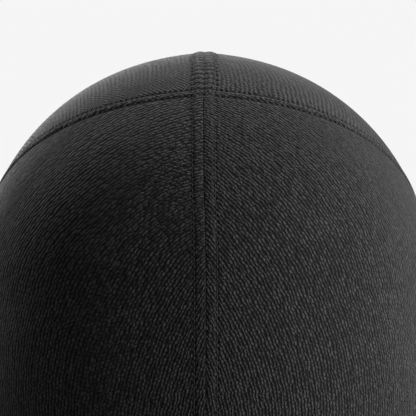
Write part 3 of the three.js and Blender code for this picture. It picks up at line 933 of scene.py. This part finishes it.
def floor_material(look):
    """A pale floor that throws little of its light back up, as if dark cloths lay beside the camera's
    view."""
    g = Graph(bpy.data.materials.new("studio floor"))
    place = g.out(g.node("ShaderNodeTexCoord"), "Object")
    grain = g.noise(place, 3.0)
    shaders = []
    for rgb in (look.floor_bounce, look.floor):
        soft = tuple(0.97 * part for part in rgb)
        shader = g.node("ShaderNodeBsdfPrincipled", {
            "Base Color": g.mix(grain, opaque(soft), opaque(rgb)),
            "Roughness": 0.9,
            "Specular IOR Level": 0.0,
        })
        shaders.append(g.out(shader))
    return g.finish(g.by_sight(*shaders))


def studio_world():
    """A pale background that throws little light on the hood."""
    g = Graph(bpy.data.worlds.new("studio"))
    shaders = []
    for rgb in (BACKGROUND_LIGHT, BACKGROUND_SEEN):
        shaders.append(g.out(g.node("ShaderNodeBackground", {0: opaque(rgb)})))
    return g.finish(g.by_sight(*shaders), "ShaderNodeOutputWorld")


def settings(context):
    """The three groups of settings."""
    scene = context.scene
    return scene.hood_sizes, scene.seam_sizes, scene.knit_look


def running_length(points):
    """The way along a row of points, from its first one, in millimetres."""
    steps = np.linalg.norm(np.diff(points, axis=0), axis=-1)
    return np.concatenate([[0], np.cumsum(steps)]) / MM


def panel(hood, node, side, azimuth, arc, slopes, material):
    """One panel as a closed wall. Its seam edges roll down into the groove, its outside carries the seams,
    and its maps hold the flat cloth and the distances from the seams."""
    s, m = hood.s, hood.seams
    outside, normals = hood.cloth(side * azimuth, arc)
    base = outside - normals * hood.seam_lift(side * azimuth, arc, outside[..., 0])[..., None]
    cross = np.abs(hood.from_cross_seam(azimuth, arc))
    hem = hood.hem_arc - arc
    centre_roll = m.centre_roll * lerp(m.crown_roll, 1, hood.below_crossing(arc))
    edges = np.maximum(roll(np.abs(base[..., 0]), centre_roll), roll(cross, m.cross_roll))
    turned = roll(hem, 0.9 * (s.cloth + s.hem_extra) / 2)
    sewn = hem - s.hem_width + m.hem_row + m.hem_row_gap / 2
    groove = m.hem_pull * np.exp(-((sewn / m.hem_groove) ** 2))
    outer = outside - normals * (edges + turned + groove)[..., None]
    thicker = s.hem_extra * smooth((s.hem_width - hem) / (1.2 * MM))
    inner = base - normals * (s.cloth + thicker - turned)[..., None]
    crosswise, lengthwise = slopes(hood, side, base, normals, azimuth, arc)
    from_centre, from_cross = np.abs(base[..., 0]) / MM, hood.seam_distance(base, azimuth, arc) / MM
    maps = {
        "cloth": flatten(base, crosswise, lengthwise) / MM,
        "centre": np.stack([from_centre, hood.centre_way(-arc * np.cos(azimuth))], axis=-1),
        "cross": np.stack([from_cross, hood.cross_way(azimuth)], axis=-1),
    }
    maps = {name: np.concatenate([grid.reshape(-1, 2)] * 2) for name, grid in maps.items()}
    faces = shell_faces(*arc.shape)
    if side < 0:
        faces = faces[:, ::-1]
    points = wander(np.concatenate([outer.reshape(-1, 3), inner.reshape(-1, 3)]))
    piece = add_mesh(node + "_knit", points, faces, material, maps)
    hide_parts(node)
    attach(piece, "root")
    return piece, base


def hood_slopes(hood, side, base, normals, azimuth, arc):
    """Slopes of a hood panel's flat coordinates: the parts round and up, as vectors on the cloth."""
    parts = rib_slopes(hood, side, azimuth, arc)
    step = 1e-4
    away = -side * unit(hood.plain(side * azimuth + step, arc) - hood.plain(side * azimuth - step, arc))
    up = -side * np.cross(normals, away)
    crosswise = parts[..., :1] * away + parts[..., 1:] * up
    return crosswise, -side * np.cross(normals, crosswise)


def crown_slopes(hood, side, base, normals, azimuth, arc):
    """Slopes of a crown panel's flat coordinates. Its ribs run over the head from the face to the back, and
    drift towards the wearer's right on the way. Where the cloth faces sideways, the next rib lies below."""
    behind = base[..., 1] / MM
    steep = rising(np.abs(normals[..., 0]), 0.6, 0.95)
    over = rising(behind, 42, 12) * rising(behind, -45, -15)
    drift = CROWN_DRIFT[side] * np.abs(base[..., 0]) / hood.s.head_half_width * over
    drawn = np.stack([side + 0 * arc, side * drift, -1.5 * steep], axis=-1)
    gauge = 0.9
    crosswise = unit(drawn - (drawn * normals).sum(-1, keepdims=True) * normals) * gauge
    return crosswise, -side * np.cross(normals, crosswise)


def flat_area(points):
    """Area of a grid of points, in square metres."""
    first = points[1:, 1:] - points[:-1, :-1]
    second = points[1:, :-1] - points[:-1, 1:]
    return float(np.linalg.norm(np.cross(first, second), axis=-1).sum() / 2)


class BALACLAVA_OT_stage(bpy.types.Operator):
    """Sets the camera, the lights, the background and the floor"""

    bl_idname = "balaclava.stage"
    bl_label = "Stage"

    def execute(self, context):
        scene = context.scene
        camera = bpy.data.cameras.new("camera")
        camera.sensor_width = CAMERA_SENSOR
        camera.lens = CAMERA_LENS
        camera.clip_end = CAMERA_END
        holder = bpy.data.objects.new("camera", camera)
        holder.location = CAMERA_PLACE
        holder.rotation_euler = (math.pi / 2, 0, math.pi)
        scene.collection.objects.link(holder)
        scene.camera = holder
        scene.view_settings.view_transform = "Standard"
        for name, turn, lift, strength in LAMPS:
            turn, lift = math.radians(turn), math.radians(lift)
            light = bpy.data.lights.new(name, "SUN")
            light.angle = LAMP_WIDTH
            light.energy = strength
            lamp = bpy.data.objects.new(name, light)
            # A sun shines down its own -Z, so it tips away from upright and then turns round.
            lamp.rotation_euler = (math.pi / 2 - lift, 0, turn - math.pi)
            lamp.location = (0, 0, 1)
            scene.collection.objects.link(lamp)
        scene.world = studio_world()
        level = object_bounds()[0][2] - FLOOR_GAP
        turn = np.linspace(0, math.tau, 96, endpoint=False)
        rim = np.stack([FLOOR_RADIUS * np.cos(turn), FLOOR_RADIUS * np.sin(turn), level + 0 * turn], axis=-1)
        floor = add_mesh("floor", rim, np.arange(len(rim))[None], floor_material(scene.knit_look))
        floor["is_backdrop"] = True
        return {"FINISHED"}


class BALACLAVA_OT_panels(bpy.types.Operator):
    """Knits the two crown panels and the two hood panels"""

    bl_idname = "balaclava.panels"
    bl_label = "Panels"

    def execute(self, context):
        sizes, seams, look = settings(context)
        hood = Hood(sizes, seams)
        knit = knit_material("hood knit", look, seams)
        for side, name in ((1, "left"), (-1, "right")):
            crown_knit = knit_material(f"crown {name} knit", look, seams)
            piece, base = panel(hood, f"crown_{name}", side, *crown_places(hood), crown_slopes, crown_knit)
            flat_area(base) / STRETCH
            piece, base = panel(hood, f"hood_{name}", side, *hood_places(hood), hood_slopes, knit)
            flat_area(base) / STRETCH
        return {"FINISHED"}


def binding_section(sizes):
    """Half of the folded strip's section and its mirror, as distances out from the opening and lifts from the
    middle of the cloth: straight runs, a quarter circle at the outer edge and another at the fold."""
    half = sizes.cloth / 2 + sizes.slot_clearance
    thick, width = sizes.binding_cloth, sizes.binding_width
    top, edge, fold = half + thick, thick * 0.45, 1.5 * MM
    bend = np.linspace(0, math.pi / 2, 5)

    def around(out, lift, radius, start):
        turn = start + bend
        return np.stack([out + radius * np.cos(turn), lift + radius * np.sin(turn)], axis=-1)

    inner_run = np.stack([np.linspace(width, thick, 3), np.full(3, half)], axis=-1)
    outer_run = np.stack([np.linspace(fold + 0.1 * MM, width - edge, 9), np.full(9, top)], axis=-1)[::-1]
    upper = np.concatenate([
        inner_run[::-1],
        around(width - edge, top - edge, edge, 0),
        outer_run[1:-1],
        around(fold, top - fold, fold, math.pi / 2),
    ])
    return np.concatenate([upper, upper[::-1] * (1, -1)])


class BALACLAVA_OT_binding(bpy.types.Operator):
    """Folds the strip round the eye opening"""

    bl_idname = "balaclava.binding"
    bl_label = "Eye binding"

    def execute(self, context):
        sizes, seams, look = settings(context)
        hood = Hood(sizes, seams)
        section = binding_section(sizes)
        turns = np.linspace(0, math.tau, 360, endpoint=False) - math.pi / 2
        out = np.broadcast_to(section[:, 0], (len(turns), len(section)))
        azimuth, arc = hood.eye_place(turns[:, None] + 0 * out, out)
        lift = section[:, 1] - sizes.cloth / 2
        middle = out / sizes.binding_width - 0.5
        gathers, height = 74, 0.12 * MM
        gather = height * np.sin(turns * gathers)[:, None] * (lift > 0) * np.exp(-((middle * 3) ** 2))
        points = hood.plain(azimuth, arc) + hood.normal(azimuth, arc) * (lift + gather)[..., None]
        way = running_length(np.concatenate([points[:, 0], points[:1, 0]]))
        over = running_length(np.concatenate([section, section[:1]]))
        flat = np.stack(np.meshgrid(way, over, indexing="ij"), axis=-1).reshape(-1, 2)
        flat = flat[tube_corners(len(turns), len(section))]
        knit = knit_material("binding knit", look, seams, with_seams=False)
        faces = tube_faces(len(turns), len(section), closed=True)
        piece = add_mesh("eye_binding_knit", points.reshape(-1, 3), faces, knit, {"cloth": flat})
        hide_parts("eye_binding")
        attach(piece, "root")
        return {"FINISHED"}


def stitch_row(hood, azimuth, arc, way):
    """A row of stitching: the way along it, its points on the cloth and their normals."""
    return (way * MM, *hood.cloth(azimuth, arc))


def thread_mesh(rows, seams):
    """Short stitches along rows of points: each is a bent capsule that dips into the cloth at both ends.
    Stations along it and sides round it are worked out for all stitches at once."""
    stations = np.linspace(-1, 1, STITCH_STATIONS)
    sides = np.arange(STITCH_SIDES) * math.tau / STITCH_SIDES
    all_points, all_flat = [], []
    for way, points, normals in rows:
        middles = (np.arange(math.ceil(way[0] / seams.pitch), int(way[-1] / seams.pitch)) + 0.5) * seams.pitch
        at = middles[:, None] + stations * seams.pitch * STITCH_REACH
        line = np.stack([np.interp(at, way, points[:, k]) for k in range(3)], axis=-1)
        out = unit(np.stack([np.interp(at, way, normals[:, k]) for k in range(3)], axis=-1))
        ahead = unit(np.gradient(line, axis=1))
        across = np.cross(out, ahead)
        line = line + out * (seams.thread * (STITCH_PROUD - STITCH_DIP * stations**4))[None, :, None]
        radius = seams.thread / 2 * np.sqrt(1 - 0.8 * stations**6)[None, :, None, None]
        ring = across[:, :, None] * np.cos(sides)[:, None] + out[:, :, None] * np.sin(sides)[:, None]
        all_points.append(line[:, :, None] + ring * radius)
        flat = np.stack([at[:, :, None] / MM + 0 * sides, 0 * at[:, :, None] + sides / math.tau], axis=-1)
        all_flat.append(flat)
    points, flat = np.concatenate(all_points), np.concatenate(all_flat)
    count, rings, around = points.shape[:3]
    body = tube_faces(rings, around)
    ends = np.stack([np.arange(around)[::-1], np.arange(around) + (rings - 1) * around])
    # Two quads close each end of six sides.
    one = np.concatenate([body, ends[:, [0, 1, 2, 3]], ends[:, [0, 3, 4, 5]]])
    faces = (one[None] + (np.arange(count) * rings * around)[:, None, None]).reshape(-1, 4)
    return points.reshape(-1, 3), faces, flat.reshape(-1, 2)


class BALACLAVA_OT_stitches(bpy.types.Operator):
    """Sews the seams, the binding and the hem"""

    bl_idname = "balaclava.stitches"
    bl_label = "Stitches"

    def execute(self, context):
        sizes, seams, look = settings(context)
        hood = Hood(sizes, seams)
        thread = thread_material(look)
        groups = {
            "centre_seam_stitches": (self.centre_rows(hood), "panel_knit"),
            "cross_seam_stitches": (self.cross_rows(hood), "panel_knit"),
            "hem_stitches": (self.hem_rows(hood), "panel_knit"),
            "eye_binding_stitches": (self.binding_rows(hood), "binding_knit"),
        }
        for name, (rows, slot) in groups.items():
            points, faces, flat = thread_mesh(rows, seams)
            piece = add_mesh(name, wander(points), faces, thread, {"cloth": flat})
            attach(piece, "root")
        return {"FINISHED"}

    def centre_rows(self, hood):
        """Both sides of the middle, from the brow over the top and down the back, and below the eyes."""
        s, reach = hood.s, hood.seams.centre_reach
        brow = float(hood.eye_place(np.array(math.pi / 2), s.binding_width)[1])
        cheek = float(hood.eye_place(np.array(-math.pi / 2), s.binding_width)[1])
        step, gap, hem = 0.5 * MM, 1.2 * MM, hood.hem_arc - 0.5 * MM
        runs = [(-hem, -cheek), (-brow, s.seam_back - gap), (s.seam_back + gap, hem)]
        rows = []
        for side in (-1, 1):
            for first, last in runs:
                along = np.arange(first, last, step)
                azimuth, arc = self.beside_middle(hood, along, reach)
                rows.append(stitch_row(hood, side * azimuth, arc, hood.centre_way(along)))
        return rows

    def beside_middle(self, hood, along, reach):
        """Azimuth and arc at a distance from the middle line. Near the top of the head the flat map is
        true, and further down the ring's width turns the distance into an azimuth."""
        width = np.maximum(hood.ring(np.abs(along))["width"], reach)
        off = np.where(np.abs(along) < hood.widest_arc / 3, reach, np.abs(along) * reach / width)
        return np.arctan2(off, -along), np.hypot(off, along)

    def cross_rows(self, hood):
        """Above and below the cross seam, from the middle of the back to the corners of the eye opening."""
        azimuth = np.linspace(math.pi, hood.eye_corner + 0.14, 900)
        arc = hood.seam_arc(azimuth)
        offset = hood.seams.cross_reach * hood.seam_stretch(azimuth, arc)
        way = hood.cross_way(azimuth)
        rows = []
        for side in (-1, 1):
            for end in (-1, 1):
                rows.append(stitch_row(hood, side * azimuth, arc + end * offset, way))
        return rows

    def hem_rows(self, hood):
        """Two rows round the hem, sunk into the groove that they pull."""
        m = hood.seams
        azimuth = np.linspace(-math.pi, math.pi, 1400)
        rows = []
        for below in (m.hem_row + m.hem_row_gap, m.hem_row):
            arc = hood.hem_arc - hood.s.hem_width + below + 0 * azimuth
            way, points, normals = stitch_row(hood, azimuth, arc, running_length(hood.plain(azimuth, arc)))
            rows.append((way, points - normals * m.hem_sink, normals))
        return rows

    def binding_rows(self, hood):
        """Two rows round the strip, on its outside."""
        s, m = hood.s, hood.seams
        turns = np.linspace(0, math.tau, 1600)
        lift = s.slot_clearance + s.binding_cloth
        first = s.binding_width - m.binding_row
        rows = []
        for out in (first, first - m.binding_row_gap):
            azimuth, arc = hood.eye_place(turns, out + 0 * turns)
            normals = hood.normal(azimuth, arc)
            points = hood.plain(azimuth, arc) + normals * lift
            rows.append((running_length(points) * MM, points, normals))
        return rows


class BALACLAVA_PT_panel(bpy.types.Panel):
    """Lists the hood's pieces, sizes and colours"""

    bl_idname = "BALACLAVA_PT_panel"
    bl_label = "Racing balaclava"
    bl_space_type = "VIEW_3D"
    bl_region_type = "UI"
    bl_category = "Balaclava"

    def draw(self, context):
        layout = self.layout
        for operator in OPERATORS:
            layout.operator(operator.bl_idname)
        for group in settings(context):
            box = layout.box()
            for name in group.__annotations__:
                box.prop(group, name)


GROUPS = {"hood_sizes": HoodSizes, "seam_sizes": SeamSizes, "knit_look": KnitLook}
OPERATORS = (BALACLAVA_OT_stage, BALACLAVA_OT_panels, BALACLAVA_OT_binding, BALACLAVA_OT_stitches)
CLASSES = (*GROUPS.values(), *OPERATORS, BALACLAVA_PT_panel)


def register():
    for item in CLASSES:
        bpy.utils.register_class(item)
    for name, group in GROUPS.items():
        setattr(bpy.types.Scene, name, bpy.props.PointerProperty(type=group))


def unregister():
    for name in GROUPS:
        delattr(bpy.types.Scene, name)
    for item in reversed(CLASSES):
        bpy.utils.unregister_class(item)


def main():
    """Builds the hood and its studio."""
    register()
    bpy.ops.balaclava.stage()
    bpy.ops.balaclava.panels()
    bpy.ops.balaclava.binding()
    bpy.ops.balaclava.stitches()


if __name__ == "__main__":
    main()
